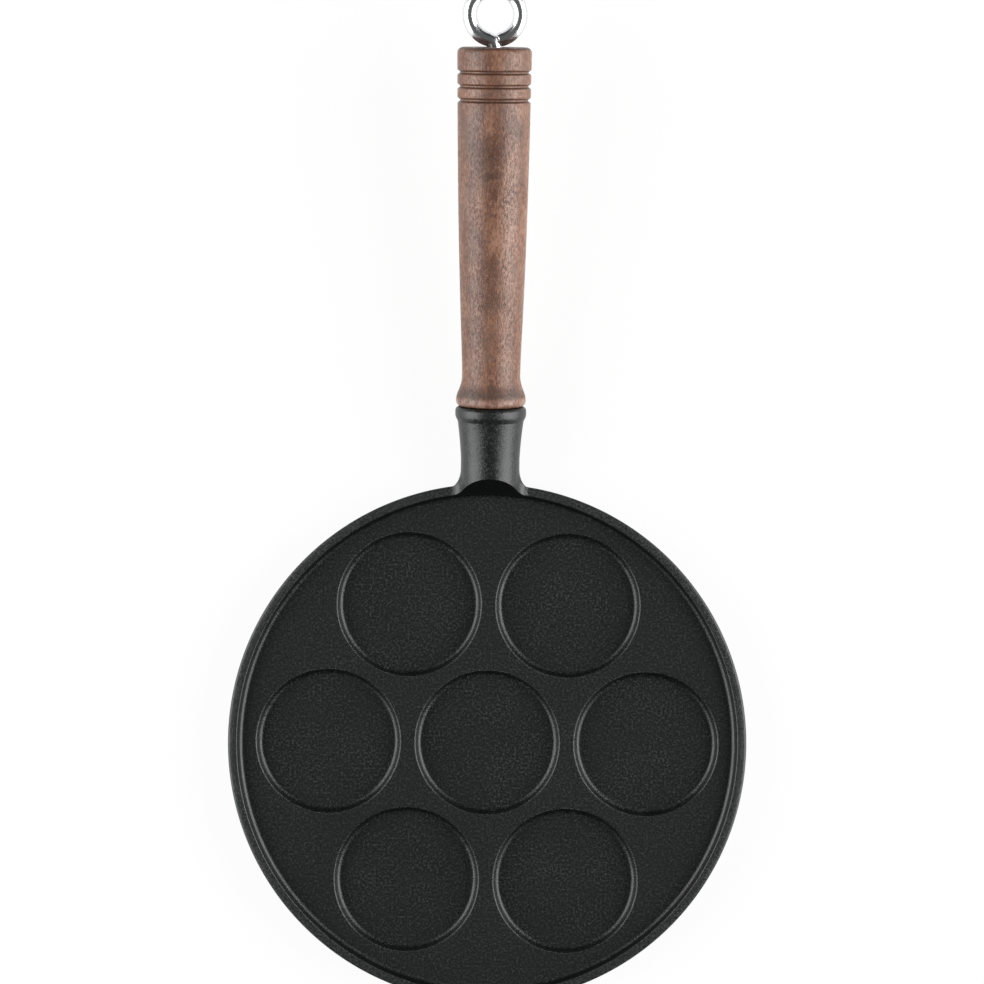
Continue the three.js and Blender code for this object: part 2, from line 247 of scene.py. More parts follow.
rings = [edge for edge in casting.edges if edge.is_boundary]
bmesh.ops.triangle_fill(casting, use_beauty=True, edges=rings)
pan = new_object("pan_casting_skin", casting)
print("pan", round(2 * pan_radius / MM, 1), "mm across with", 1 + WELLS_AROUND, "wells")

# %% [markdown]
# ## The neck
# The neck is cast in one with the pan. It is a hollow tube with a rounded bead at its mouth, a socket
# for the grip's tenon, and a tapped hole behind that. Where it leaves the rim the sand leaves a wide
# fillet. That fillet is made by pushing the turned tube outward near the rim: the closer a point is to
# the pan, the further out it moves, along a quarter circle.

# %% The neck's tube
NECK_RADIUS = 13 * MM
NECK_BEAD = 15.68 * MM
NECK_BEAD_EDGE = 1.9 * MM
NECK_BEAD_END = 4.3 * MM
NECK_BEAD_ROUND = 3.5 * MM
NECK_CREASE = 6.4 * MM
NECK_CREASE_RADIUS = 14.6 * MM
NECK_CREASE_ROUND = 1 * MM
TAPER_START = (13.75 * MM, -12.4 * MM)
TAPER_END = (13.25 * MM, -18 * MM)
NECK_LENGTH = 33.9 * MM
NECK_WAIST = 23.5 * MM
BURIED = 9.7 * MM
SOCKET_RADIUS = 9.5 * MM
SOCKET_DEPTH = 16 * MM
TAPPED_RADIUS = 3.3 * MM
TAPPED_DEPTH = 29 * MM
CURVE_STEPS = 20
ROOT_RUN = 14.5 * MM
ROOT_RING = 0.35 * MM
NECK_STEPS = 256


def free_curve(*knots):
    points = interpolate_bezier(*(Vector((*knot, 0)) for knot in knots), CURVE_STEPS)
    return [(point.x, point.y) for point in points]


taper = free_curve(
    (NECK_CREASE_RADIUS, -NECK_CREASE),
    TAPER_START,
    TAPER_END,
    (NECK_RADIUS, -NECK_WAIST),
)
root = [(NECK_RADIUS, -NECK_WAIST - ROOT_RING * ring) for ring in range(1, int(ROOT_RUN / ROOT_RING))]

neck = turn_on_handle([
    (0, -TAPPED_DEPTH),
    (TAPPED_RADIUS, -TAPPED_DEPTH),
    (TAPPED_RADIUS, -SOCKET_DEPTH),
    (SOCKET_RADIUS, -SOCKET_DEPTH),
    (SOCKET_RADIUS, 0),
    (NECK_BEAD, 0, NECK_BEAD_EDGE),
    (NECK_BEAD, -NECK_BEAD_END, NECK_BEAD_ROUND),
    (*taper[0], NECK_CREASE_ROUND),
    *taper[1:],
    *root,
    (NECK_RADIUS, -NECK_LENGTH - BURIED),
    (0, -NECK_LENGTH - BURIED),
], NECK_STEPS)
print("neck", round(NECK_LENGTH / MM, 1), "mm long")

# %% [markdown]
# ## The neck's root
# A fillet is where a ball touches both walls as it rolls along the corner between them. Here the ball
# is long: it reaches further along the neck than out from it, and less far up from the rim's top. Each
# point of the tube near the pan is pushed straight out to it. The pan's side is a cone that starts below
# the rim's rounded edge, and its top is flat, so the distance to the pan follows from two lines of its
# outline. The fillet's foot sinks a hair into the pan, and it dies away under the neck, which is close
# to the table there.

# %% The neck's root
ROOT_FLARE = 4.2 * MM
ROOT_REACH = 6.8 * MM
ROOT_RISE = 4.2 * MM
ROOT_SINK = 0.03 * MM
BARE_BELOW = math.radians(25)
FULL_ABOVE = math.radians(65)
HALVINGS = 16
side_lean = math.atan2(BASE_INSET, RIM_TOP)
rim_cut_back = RIM_EDGE * (1 / math.tan(math.pi / 4 - side_lean / 2) - 1)


def distance_to_pan(point):
    out = point.xy.length - pan_radius + rim_cut_back
    above = (point.z - RIM_TOP) * ROOT_REACH / ROOT_RISE
    beside = out * math.cos(side_lean) - (point.z - RIM_TOP) * math.sin(side_lean)
    if beside > 0 and above > 0:
        return math.hypot(beside, above)
    return max(beside, above)


def root_swell(point, outward):
    """How far out from the tube the rolling ball's face lies, by halving the span it can be in."""
    near, far = 0, ROOT_FLARE
    for _ in range(HALVINGS):
        middle = (near + far) / 2
        gap = max(distance_to_pan(point + outward * middle) + ROOT_SINK, 0)
        beyond = math.hypot(1 - middle / ROOT_FLARE, 1 - gap / ROOT_REACH) < 1
        near, far = (near, middle) if beyond else (middle, far)
    return near


def ease(share):
    share = min(max(share, 0), 1)
    return share * share * (3 - 2 * share)


for vert in neck.verts:
    offset = vert.co - neck_mouth
    far = offset.dot(along)
    outward = offset - along * far
    if far < ROOT_RING - NECK_WAIST and outward.length > SOCKET_RADIUS:
        share = ease((outward.angle(-upward) - BARE_BELOW) / (FULL_ABOVE - BARE_BELOW))
        if share > 0 and distance_to_pan(vert.co) < ROOT_REACH:
            outward.normalize()
            vert.co += outward * root_swell(vert.co, outward) * share
neck_skin = new_object("neck_skin", neck)
print("root fillet", round(ROOT_FLARE / MM, 1), "mm out and", round(ROOT_REACH / MM, 1), "mm along")

# %% [markdown]
# ## Neck and pan become one casting
# Inside the pan the neck ends in a face that goes on upward from the rim's inner wall, which is the
# dark arch that shows above the plate. A turned tool in the shape of the pan's air cuts that face,
# set back a hair from the wall so that no two skins lie in one plane. Then the two are joined.

# %% One casting
FACE_LEAN = math.tan(math.radians(26))
SET_BACK = 0.02 * MM
AIR_ABOVE = 30 * MM
AIR_BELOW = 0.5 * MM

air = turn_on_pan([
    (0, PLATE_TOP - AIR_BELOW),
    (plate_radius - AIR_BELOW * DRAFT + SET_BACK, PLATE_TOP - AIR_BELOW),
    (rim_inside + SET_BACK, RIM_TOP),
    (rim_inside + AIR_ABOVE * FACE_LEAN, RIM_TOP + AIR_ABOVE),
    (0, RIM_TOP + AIR_ABOVE),
], PAN_STEPS)
cut_with(neck_skin, new_object("air", air), "DIFFERENCE")
cut_with(pan, neck_skin, "UNION")

joined = bmesh.new()
joined.from_mesh(pan.data)
bmesh.ops.remove_doubles(joined, verts=joined.verts, dist=MERGE)
shade(joined)
joined.to_mesh(pan.data)
print("open edges in the casting:", sum(not edge.is_manifold for edge in joined.edges))
joined.free()

# %% [markdown]
# ## The grip
# The grip is turned between centres from one billet: a tenon, an end bead against the neck, a slim
# waist, a long swell for the palm, three grooves, and a band at the end. The hollow and the swell are
# the turner's free curves, so they are Bezier curves, each with the share of its run at which it leaves
# and arrives. The grooves get a small flat at their foot and eased lips, as a pointed tool leaves them
# after sanding.

# %% The grip
GRIP_SEAT = 0.3 * MM
GRIP_END = 157.7 * MM
TENON_RADIUS = 9.2 * MM
TENON_LENGTH = 15.7 * MM
TENON_CHAMFER = 0.8 * MM
GRIP_BORE = 3.45 * MM
BORE_SINK = 0.8 * MM
GRIP_BEAD = 15.4 * MM
GRIP_BEAD_EDGE = 2.1 * MM
GRIP_BEAD_END = 3 * MM
WAIST_RADIUS = 12.85 * MM
WAIST_AT = 14 * MM
SWELL_RADIUS = 16 * MM
SWELL_TAPER = 0.0073
END_RADIUS = 16.35 * MM
END_EDGE = 2.6 * MM
GROOVES = 3
GROOVE_PITCH = 6.05 * MM
GROOVE_WIDTH = 2.3 * MM
GROOVE_FLAT = 0.5 * MM
GROOVE_DEPTH = 1.15 * MM
GROOVE_LIP = 0.6 * MM
END_BAND = 10.9 * MM
HOLLOW_LEAVES = 0.3
HOLLOW_ARRIVES = 0.5
SWELL_LEAVES = 0.09
SWELL_ARRIVES = 0.38
GRIP_STEPS = 160

groove_middles = [GRIP_END - END_BAND - GROOVE_PITCH * number for number in reversed(range(GROOVES))]
swell_end = groove_middles[0] - GROOVE_WIDTH
hollow_run = WAIST_AT - GRIP_BEAD_END
swell_run = swell_end - WAIST_AT
hollow = free_curve(
    (GRIP_BEAD, GRIP_BEAD_END),
    (GRIP_BEAD, GRIP_BEAD_END + HOLLOW_LEAVES * hollow_run),
    (WAIST_RADIUS, WAIST_AT - HOLLOW_ARRIVES * hollow_run),
    (WAIST_RADIUS, WAIST_AT),
)
swell = free_curve(
    (WAIST_RADIUS, WAIST_AT),
    (WAIST_RADIUS, WAIST_AT + SWELL_LEAVES * swell_run),
    (SWELL_RADIUS - SWELL_TAPER * swell_run, WAIST_AT + SWELL_ARRIVES * swell_run),
    (SWELL_RADIUS, swell_end),
)


def band_radius(distance):
    """The bands go on growing a little from the swell's end to the grip's end."""
    return SWELL_RADIUS + (END_RADIUS - SWELL_RADIUS) * (distance - swell_end) / (GRIP_END - swell_end)


def groove(middle):
    half, flat = GROOVE_WIDTH / 2, GROOVE_FLAT / 2
    foot = band_radius(middle) - GROOVE_DEPTH
    return [
        (band_radius(middle - half), middle - half, GROOVE_LIP),
        (foot, middle - flat),
        (foot, middle + flat),
        (band_radius(middle + half), middle + half, GROOVE_LIP),
    ]


grip = turn_on_handle([
    (GRIP_BORE, -TENON_LENGTH),
    (TENON_RADIUS - TENON_CHAMFER, -TENON_LENGTH),
    (TENON_RADIUS, TENON_CHAMFER - TENON_LENGTH),
    (TENON_RADIUS, GRIP_SEAT),
    (GRIP_BEAD, GRIP_SEAT, GRIP_BEAD_EDGE),
    *hollow,
    *swell[1:],
    *(corner for middle in groove_middles for corner in groove(middle)),
    (END_RADIUS, GRIP_END, END_EDGE),
    (GRIP_BORE + BORE_SINK, GRIP_END),
    (GRIP_BORE, GRIP_END - BORE_SINK),
], GRIP_STEPS, closed=True)
grip_wood = new_object("handle_grip_skin", grip)
print("grip", round((GRIP_END - GRIP_SEAT) / MM, 1), "mm long with", GROOVES, "grooves")

# %% [markdown]
# ## The rod and its eye
# A steel rod has a thread on one end and is bent round a peg into an eye at the other. Where the eye's
# middle lies follows from the grip's end, the wire and the two bends, so it is worked out and not typed.

# %% The rod's measures
WIRE = 3.15 * MM
WIRE_SIDES = 40
THREAD_TOP = 3 * MM
THREAD_DEPTH = 0.55 * MM
THREAD_PITCH = 1 * MM
THREAD_TURNS = 12
THREAD_STEPS = 24
ROD_TIP = -28.7 * MM
TIP_CHAMFER = 0.7 * MM
EYE_RADIUS = 11.05 * MM
BEND_RADIUS = 4 * MM
EYE_MOUTH = 0.15 * MM
CUT_LEAN = math.radians(12)
EYE_CLEAR = 0.3 * MM
BEND_STEPS = 20
EYE_STEPS = 112
CUT_EDGE = 0.35 * MM
CUT_STEPS = 3

wire_reach = EYE_RADIUS + WIRE
bend_swing = math.asin(BEND_RADIUS / (BEND_RADIUS + EYE_RADIUS))
mouth_swing = math.asin((WIRE + EYE_MOUTH) / wire_reach)
eye_at = GRIP_END + EYE_CLEAR + wire_reach * math.cos(min(bend_swing, mouth_swing))
bend_at = eye_at - (BEND_RADIUS + EYE_RADIUS) * math.cos(bend_swing)
eye_middle = on_handle(0, eye_at)
bend_middle = on_handle(0, bend_at) - sideways * BEND_RADIUS
print("eye", round(2 * wire_reach / MM, 1), "mm across")

# %% [markdown]
# ## Bending the rod
# The mesh is made as the maker works. One ring of points is screwed along the handle for the thread,
# drawn out straight for the shank, swung round a small centre for the bend, and swung back round the peg
# for the eye. The thread's ring is a cam: turning a cam as it advances leaves a screw.

# %% Bending the rod
rod = bmesh.new()
stand_up = Matrix((sideways, -upward, along)).transposed()
first_ring = bmesh.ops.create_circle(
    rod, cap_ends=False, segments=WIRE_SIDES, radius=THREAD_TOP,
    matrix=Matrix.Translation(on_handle(0, ROD_TIP + TIP_CHAMFER)) @ stand_up.to_4x4(),
)
for vert in first_ring["verts"]:
    outward = vert.co - on_handle(0, ROD_TIP + TIP_CHAMFER)
    cam = abs(outward.angle(upward)) / math.pi
    vert.co -= outward.normalized() * THREAD_DEPTH * cam
tip_edges = rod.edges[:]


def draw_out(edges, distance, radius):
    """Draws a ring of edges out to a new ring of that radius, that far along the handle."""
    drawn = bmesh.ops.extrude_edge_only(rod, edges=edges)["geom"]
    middle = on_handle(0, distance)
    for vert in (part for part in drawn if isinstance(part, bmesh.types.BMVert)):
        offset = vert.co - middle
        vert.co = middle + (offset - along * offset.dot(along)).normalized() * radius
    return [part for part in drawn if isinstance(part, bmesh.types.BMEdge)]


def swing(edges, middle, axis, angle, steps, advance=Vector()):
    spun = bmesh.ops.spin(
        rod, geom=edges, cent=middle, axis=axis, dvec=advance, angle=angle, steps=steps, use_merge=False,
    )["geom_last"]
    return [part for part in spun if isinstance(part, bmesh.types.BMEdge)]


tip = draw_out(tip_edges, ROD_TIP, THREAD_TOP - TIP_CHAMFER)
bmesh.ops.edgeloop_fill(rod, edges=tip)
ring = swing(
    tip_edges, on_handle(0, 0), along, 2 * math.pi * THREAD_TURNS, THREAD_STEPS * THREAD_TURNS,
    along * THREAD_PITCH / THREAD_STEPS,
)
thread_end = ROD_TIP + TIP_CHAMFER + THREAD_PITCH * THREAD_TURNS
ring = draw_out(ring, thread_end + TIP_CHAMFER, WIRE)
ring = draw_out(ring, GRIP_END / 2, WIRE)
ring = draw_out(ring, bend_at, WIRE)
ring = swing(ring, bend_middle, upward, math.pi / 2 - bend_swing, BEND_STEPS)
ring = swing(ring, eye_middle, -upward, 2 * math.pi - bend_swing - mouth_swing, EYE_STEPS)
cut_verts = list({vert for edge in ring for vert in edge.verts})
heel = max(cut_verts, key=lambda vert: (vert.co - eye_middle).length)
bmesh.ops.rotate(rod, verts=cut_verts, cent=heel.co.copy(), matrix=Matrix.Rotation(CUT_LEAN, 3, upward))
cap = bmesh.ops.edgeloop_fill(rod, edges=ring)["faces"]
bmesh.ops.bevel(
    rod, geom=[edge for face in cap for edge in face.edges], offset=CUT_EDGE, offset_type="OFFSET",
    affect="EDGES", segments=CUT_STEPS, profile=0.5, material=-1,
)
bmesh.ops.remove_doubles(rod, verts=rod.verts, dist=MERGE)
print("open edges in the rod:", sum(not edge.is_manifold for edge in rod.edges))
eye_rod = new_object("eye_rod_skin", rod)

# %% [markdown]
# ## Shader maths in plain expressions
# A finish is a sum of patterns, and it reads best as one. This small class wraps a socket of a node
# tree. Arithmetic on it adds Math nodes, and its node method adds any other node: the settings first,
# then the values or links of its sockets.

# %% Values in a node tree
class Tint:
    def __init__(self, tree, socket=None):
        self.tree = tree
        self.socket = socket

    def node(self, kind, settings, sockets, output=0):
        made = self.tree.nodes.new(kind)
        for name, value in settings.items():
            if name == "stops":
                elements = made.color_ramp.elements
                while len(elements) < len(value):
                    elements.new(1)
                for stop, (place, colour) in zip(elements, value):
                    stop.position = place
                    stop.color = (*colour, 1)
            else:
                setattr(made, name, value)
        for name, value in sockets.items():
            if isinstance(value, Tint):
                self.tree.links.new(value.socket, made.inputs[name])
            else:
                made.inputs[name].default_value = value
        return Tint(self.tree, made.outputs[output])

    def math(self, operation, first, second):
        return self.node("ShaderNodeMath", {"operation": operation}, {0: first, 1: second})

    def __add__(self, other):
        return self.math("ADD", self, other)

    def __radd__(self, other):
        return self.math("ADD", other, self)

    def __sub__(self, other):
        return self.math("SUBTRACT", self, other)

    def __rsub__(self, other):
        return self.math("SUBTRACT", other, self)

    def __mul__(self, other):
        return self.math("MULTIPLY", self, other)

    def __rmul__(self, other):
        return self.math("MULTIPLY", other, self)

    def __gt__(self, other):
        return self.math("GREATER_THAN", self, other)

    def __lt__(self, other):
        return self.math("LESS_THAN", self, other)


# %% [markdown]
# ## Patterns and finishes
# A few helpers give plain names to the nodes that every finish needs. Noise has its middle at a half, so
# a pattern that pushes another one both ways is centred first. A new finish has one Principled shader.
# What doesn't vary is set on its sockets, and only what varies is linked.

# %% Patterns and finishes
NOISE_MIDDLE = 0.5


def object_place(tree):
    return Tint(tree).node("ShaderNodeTexCoord", {}, {}, "Object")


def scaled(vector, factors):
    return vector.node("ShaderNodeVectorMath", {"operation": "MULTIPLY"}, {0: vector, 1: factors})


def length_of(vector):
    return vector.node("ShaderNodeVectorMath", {"operation": "LENGTH"}, {0: vector}, "Value")


def part_of(vector, axis):
    return vector.node("ShaderNodeSeparateXYZ", {}, {"Vector": vector}, axis)


def noise(place, size, detail=2.0, roughness=0.5):
    sockets = {"Vector": place, "Scale": 1 / size, "Detail": detail, "Roughness": roughness}
    return place.node("ShaderNodeTexNoise", {}, sockets)


def centred(pattern):
    return pattern - NOISE_MIDDLE


def span(value, low, high, to_low=0.0, to_high=1.0):
    sockets = {0: value, 1: low, 2: high, 3: to_low, 4: to_high}
    return value.node("ShaderNodeMapRange", {"interpolation_type": "SMOOTHSTEP"}, sockets)


def blend_colours(share, first, second):
    settings = {"data_type": "RGBA"}
    return share.node("ShaderNodeMix", settings, {0: share, 6: first, 7: second}, 2)


def ramp(value, stops):
    return value.node("ShaderNodeValToRGB", {"stops": stops}, {"Fac": value})


def bump(height, depth):
    return height.node("ShaderNodeBump", {}, {"Height": height, "Distance": depth, "Strength": 1.0})


def new_finish(name, fixed):
    """A material with one Principled shader whose constant sockets are set directly."""
    finish = bpy.data.materials.new(name)
    finish.use_nodes = True
    shader = finish.node_tree.nodes["Principled BSDF"]
    for socket, value in fixed.items():
        shader.inputs[socket].default_value = value
    return finish, shader


def feed(finish, shader, **varying):
    for name, value in varying.items():
        finish.node_tree.links.new(value.socket, shader.inputs[name.replace("_", " ")])
    print(finish.name, "has", len(finish.node_tree.nodes), "nodes")


# %% [markdown]
# ## Cast iron
# Sand leaves its grain in the iron, and oil baked on it makes it a near black that shines softly.
# The grain is real relief, so it is bump: that way single grains catch the side lights as bright specks.
# Their crests are painted paler too, partly for the thinner seasoning on them and partly as a painted
# highlight for the specks of light on the grains. No casting is even, so the grain comes and goes in
# patches. The land between the wells is a little smoother than the wells.

# %% Cast-iron grain
IRON_DARK = (0.0022, 0.0033, 0.0029, 1)
IRON_PALE_AND_GLINT = (0.032, 0.0365, 0.0345, 1)
SAND_GRAIN = 1.0 * MM
PIT = 3.5 * SAND_GRAIN
CLOUD = 22 * MM
CLOUD_SHARE = 0.15
IRON_PATCH = 9 * MM
PATCHINESS = (0.35, 0.65, 0.45, 0.9)
CRESTS = (0.45, 0.74)
EVEN_TONE = 0.17
LAND_SHARE = 0.68
LAND_DEPTH = 0.08 * MM

iron, iron_shader = new_finish("seasoned_cast_iron", {"Metallic": 0.0, "IOR": 1.5})
place = object_place(iron.node_tree)
height = part_of(place, "Z")
grain = noise(place, SAND_GRAIN, roughness=0.6)
pits = noise(place, PIT)
cloud = noise(place, CLOUD, detail=3.0)
on_land = (height > PLATE_TOP - LAND_DEPTH) * (height < PLATE_TOP + LAND_DEPTH)
patchy = span(noise(place, IRON_PATCH), *PATCHINESS)
sharpness = patchy * (1 - (1 - LAND_SHARE) * on_land)
# Painted highlight in part: the crests are painted paler, partly for the glints on the grains.
crests_and_glints = EVEN_TONE + sharpness * (span(grain + CLOUD_SHARE * centred(cloud), *CRESTS) - EVEN_TONE)
cast_black = blend_colours(crests_and_glints, IRON_DARK, IRON_PALE_AND_GLINT)
print("sand grain", round(SAND_GRAIN / MM, 1), "mm")

# %% [markdown]
# The steep inner walls get painted shade. The rim's inner wall and the neck's arch face are painted near
# black, and the wells' walls less so, where the grain stands out more. The rim's top is rubbed a little
# paler. The base is ground flat and shows the rings of the grinding.

# %% Painted wall shade, rubbed rim and ground base
IRON_WALL_SHADE = (0.0012, 0.0014, 0.0013, 1)
IRON_RUBBED = (0.034, 0.036, 0.035, 1)
IRON_GROUND = (0.05, 0.05, 0.049, 1)
WELLS_REACH = 104 * MM
FACING_IN = -30 * MM
STEEP = (0.8, 0.5)
WELL_WALL_SHADE = 0.4
RUBBED_BAND = 1 * MM
RIM_FLAT = (0.6, 0.85)
RUBBING = (0.3, 0.6, 0.1, 0.4)
WALL_GRAIN = 1.2
OFF_FLOOR = (0.97, 0.7)
PIT_SHARE = 0.3
GROUND_LEVEL = 0.05 * MM
GRINDING_RING = 0.7 * MM
RING_WANDER = 6
RING_SHARE = 0.12
GROUND_GRAIN = 0.2
SAND_RELIEF = 0.17 * MM
IRON_GLOSS = (0.35, 0.7, 0.36, 0.45)

flat_place = scaled(place, (1, 1, 0))
out = length_of(flat_place)
normal = place.node("ShaderNodeNewGeometry", {}, {}, "Normal")
facing_up = part_of(normal, "Z")
facing_out = place.node(
    "ShaderNodeVectorMath", {"operation": "DOT_PRODUCT"}, {0: normal, 1: flat_place}, "Value",
)
in_wells = out < WELLS_REACH
# Painted shade: steep inner walls are blended towards near black, the wells' walls by a smaller share.
wall_shade = span(facing_up, *STEEP) * (WELL_WALL_SHADE * in_wells + (1 - in_wells) * (facing_out < FACING_IN))
seasoned = blend_colours(wall_shade, cast_black, IRON_WALL_SHADE)
on_rim = (height > RIM_TOP - RUBBED_BAND) * (out < pan_radius) * span(facing_up, *RIM_FLAT)
rubbed = blend_colours(on_rim * span(grain, *RUBBING), seasoned, IRON_RUBBED)

ground = height < GROUND_LEVEL
grinding_rings = out.math("SINE", out * (2 * math.pi / GRINDING_RING) + RING_WANDER * pits, 0)
on_walls = span(facing_up, *OFF_FLOOR) * in_wells
sand = sharpness * (1 + WALL_GRAIN * on_walls) * (grain + PIT_SHARE * pits)
grinding = RING_SHARE * grinding_rings + GROUND_GRAIN * grain
feed(
    iron, iron_shader,
    Base_Color=blend_colours(ground, rubbed, IRON_GROUND),
    Roughness=span(grain, *IRON_GLOSS),
    Normal=bump((1 - ground) * sand + ground * grinding, SAND_RELIEF),
)

# %% [markdown]
# ## Oiled walnut
# A turned grip shows its fibres running from end to end, darker streaks where the growth rings come
# to the surface, and short flecks. All of them are longer than wide, so one Mapping node turns the
# pattern onto the handle's line, and each noise is then drawn out along the grain by its own stretch.

# %% Oiled walnut
WOOD_DEEP = (0.1, 0.046, 0.031)
WOOD_MID = (0.172, 0.079, 0.048)
WOOD_PALE = (0.27, 0.143, 0.095)
WOOD_GREY = (0.14, 0.086, 0.064, 1)
FIBRE_TONES = ((0.4, WOOD_DEEP), (0.5, WOOD_MID), (0.61, WOOD_PALE))
FLECK = 0.85 * MM
FLECK_STRETCH = 2.2
FLECK_SHARE = 0.44
PORE = 0.6 * MM
PORE_STRETCH = 2
PORE_EDGE = (0.58, 0.7)
STREAK = 0.9 * MM
STREAK_STRETCH = 10
STREAK_SHARE = 0.12
FIGURE = 7 * MM
FIGURE_STRETCH = 2.4
FIGURE_SHARE = 0.44
WOOD_PATCH = 9 * MM
PATCH_STRETCH = 1.6
GREYING = (0.45, 0.7, 0.0, 0.45)
PALER_ACROSS = 0.045

walnut, walnut_shader = new_finish("oiled_walnut", {"Metallic": 0.0, "IOR": 1.45})
place = object_place(walnut.node_tree)
turned = place.node(
    "ShaderNodeMapping", {"vector_type": "TEXTURE"},
    {"Vector": place, "Location": neck_mouth, "Rotation": (handle_rise, 0, 0)},
)


def drawn_out(stretch):
    return scaled(turned, (1, 1 / stretch, 1))


flecks = noise(drawn_out(FLECK_STRETCH), FLECK)
pores = span(noise(drawn_out(PORE_STRETCH), PORE, detail=1.0), *PORE_EDGE)
streaks = noise(drawn_out(STREAK_STRETCH), STREAK)
figure = noise(drawn_out(FIGURE_STRETCH), FIGURE, detail=4.0, roughness=0.6)
patches = noise(drawn_out(PATCH_STRETCH), WOOD_PATCH, detail=3.0)
across = part_of(turned, "X")
grain_tone = FIGURE_SHARE * figure + STREAK_SHARE * streaks + FLECK_SHARE * flecks
# The wood is made a little paler towards +x, across the grip.
fibres = ramp(grain_tone + across * (PALER_ACROSS / SWELL_RADIUS), FIBRE_TONES)
wood = blend_colours(span(patches, *GREYING), fibres, WOOD_GREY)
print("flecks", round(FLECK / MM, 2), "mm wide, drawn out", FLECK_STRETCH, "times")

# %% [markdown]
# ## Knots and a painted highlight
# The billet was not quite straight-grained. A few small knots and the darker wood round them show on top
# of the grip. A pale streak on the grip's right flank is a painted highlight. Each is a distance from
# its middle, bent by the figure. A row gives the middle across, along and up from the handle's line,
# then the reach the same three ways, in millimetres, and last how strong it is.

# %% Knots and a painted highlight
WOOD_STAIN = (0.05, 0.021, 0.014, 1)
WOOD_PAINTED_HIGHLIGHT = (0.31, 0.175, 0.125, 1)
KNOTS = (
    ((-1.0, 110.5, 15.4), (2.6, 4.2, 4), 0.62),
    ((-0.3, 102.0, 15.4), (4.6, 3.0, 4), 0.75),
    ((0.6, 94.5, 15.3), (2.0, 7.0, 4), 0.6),
    ((-2.0, 113.0, 14.0), (9.0, 13.0, 10), 0.5),
    ((0.0, 99.0, 14.5), (4.5, 11.0, 7), 0.45),
    ((9.5, 119.5, 13.0), (6.5, 8.0, 7), 0.4),
    ((0.4, 66.5, 14.5), (1.3, 4.0, 4), 0.45),
    ((-2.4, 53.5, 13.0), (6.0, 10.0, 8), 0.45),
)
PAINTED_HIGHLIGHT_STREAK = ((6.7, 80, 13.5), (3.2, 32, 8), 0.75)
HIGHLIGHT_FLECKS = (0.38, 0.62)
GNARL = 4.5 * MM
GNARL_STRETCH = 1.5
KNOT_BEND = 2.2
KNOT_FRAY = 0.6
KNOT_EDGE = (1.35, 0.35)
PORE_STAIN = 0.3

gnarl = noise(drawn_out(GNARL_STRETCH), GNARL, detail=3.0, roughness=0.6)


def knot(middle, reach):
    sockets = {0: turned, 1: [MM * part for part in middle]}
    offset = turned.node("ShaderNodeVectorMath", {"operation": "SUBTRACT"}, sockets)
    away = length_of(scaled(offset, [1 / (MM * far) for far in reach]))
    return span(away + KNOT_BEND * centred(gnarl) + KNOT_FRAY * centred(flecks), *KNOT_EDGE)


stain = PORE_STAIN * pores
for middle, reach, share in KNOTS:
    stain = stain.math("MAXIMUM", stain, share * knot(middle, reach))
# Painted highlight: a pale streak down the grip's right flank, where the right light falls on it.
middle, reach, share = PAINTED_HIGHLIGHT_STREAK
painted_highlight = share * knot(middle, reach) * span(flecks, *HIGHLIGHT_FLECKS)
highlighted = blend_colours(painted_highlight, wood, WOOD_PAINTED_HIGHLIGHT)
stained = blend_colours(stain, highlighted, WOOD_STAIN)
print(len(KNOTS), "knots in the wood")

# %% [markdown]
# ## Wear, painted highlight, painted shade and cuts
# The bead's rim is painted pale, a painted highlight on its rounding, and hands rub it a little
# glossier.
# The hollow behind the bead is painted darker, a painted shade, and is a little duller there. The
# grooves are painted darker, a painted shade that is deepest on their walls, and the end's grain drinks
# more oil.
# The flecks and pores are also relief, which breaks up the gloss.

# %% Wear, painted highlight, painted shade and cuts
WOOD_PAINTED_SHEEN = (0.36, 0.25, 0.21, 1)
WOOD_PAINTED_SHADE = (0.06, 0.036, 0.028, 1)
GROOVE_FOOT = 15.1 * MM
GROOVE_BROW = 15.9 * MM
GROOVE_FADE = 0.25 * MM
GROOVE_SHADE = 0.3
GROOVE_WALL_SHADE = 0.55
END_GRAIN = 0.4 * MM
END_STAIN = 0.65
BEAD_WORN = 3.4 * MM
RUB_STARTS = (0.6 * MM, 1.6 * MM)
RUB_ENDS = (BEAD_WORN + 1.4 * MM, BEAD_WORN - 0.8 * MM)
RUB_FRAY = 0.5
RUB_FIGURE = (0.36, 0.6, 0.2, 1.0)
PAINTED_SHEEN_SHARE = 0.4
HOLLOW_STARTS = (BEAD_WORN, BEAD_WORN + 2 * MM)
HOLLOW_ENDS = (12 * MM, 6 * MM)
HOLLOW_WANDER = 8 * MM
HOLLOW_SHADE_SHARE = 0.75
WOOD_GLOSS = (0.3, 0.7, 0.5, 0.32)
PORE_DULL = 0.12
GRIME_DULL = 0.05
RUB_SHINE = 0.06
FLECK_RELIEF = 0.7
STREAK_RELIEF = 0.3
PORE_RELIEF = 0.3
WOOD_RELIEF = 0.18 * MM

far = part_of(turned, "Y")
out = length_of(scaled(turned, (1, 0, 1)))
in_groove = (far > swell_end) * span(out, GROOVE_BROW, GROOVE_BROW - GROOVE_FADE)
groove_wall = in_groove * span(out, GROOVE_FOOT, GROOVE_FOOT + GROOVE_FADE)
end_grain = far > GRIP_END - END_GRAIN
# Painted shade: the grooves are darkened, most on their steep walls. The end's grain stain is real.
groove_shade = GROOVE_SHADE * in_groove + GROOVE_WALL_SHADE * groove_wall
cut = groove_shade * (1 - end_grain) + END_STAIN * end_grain
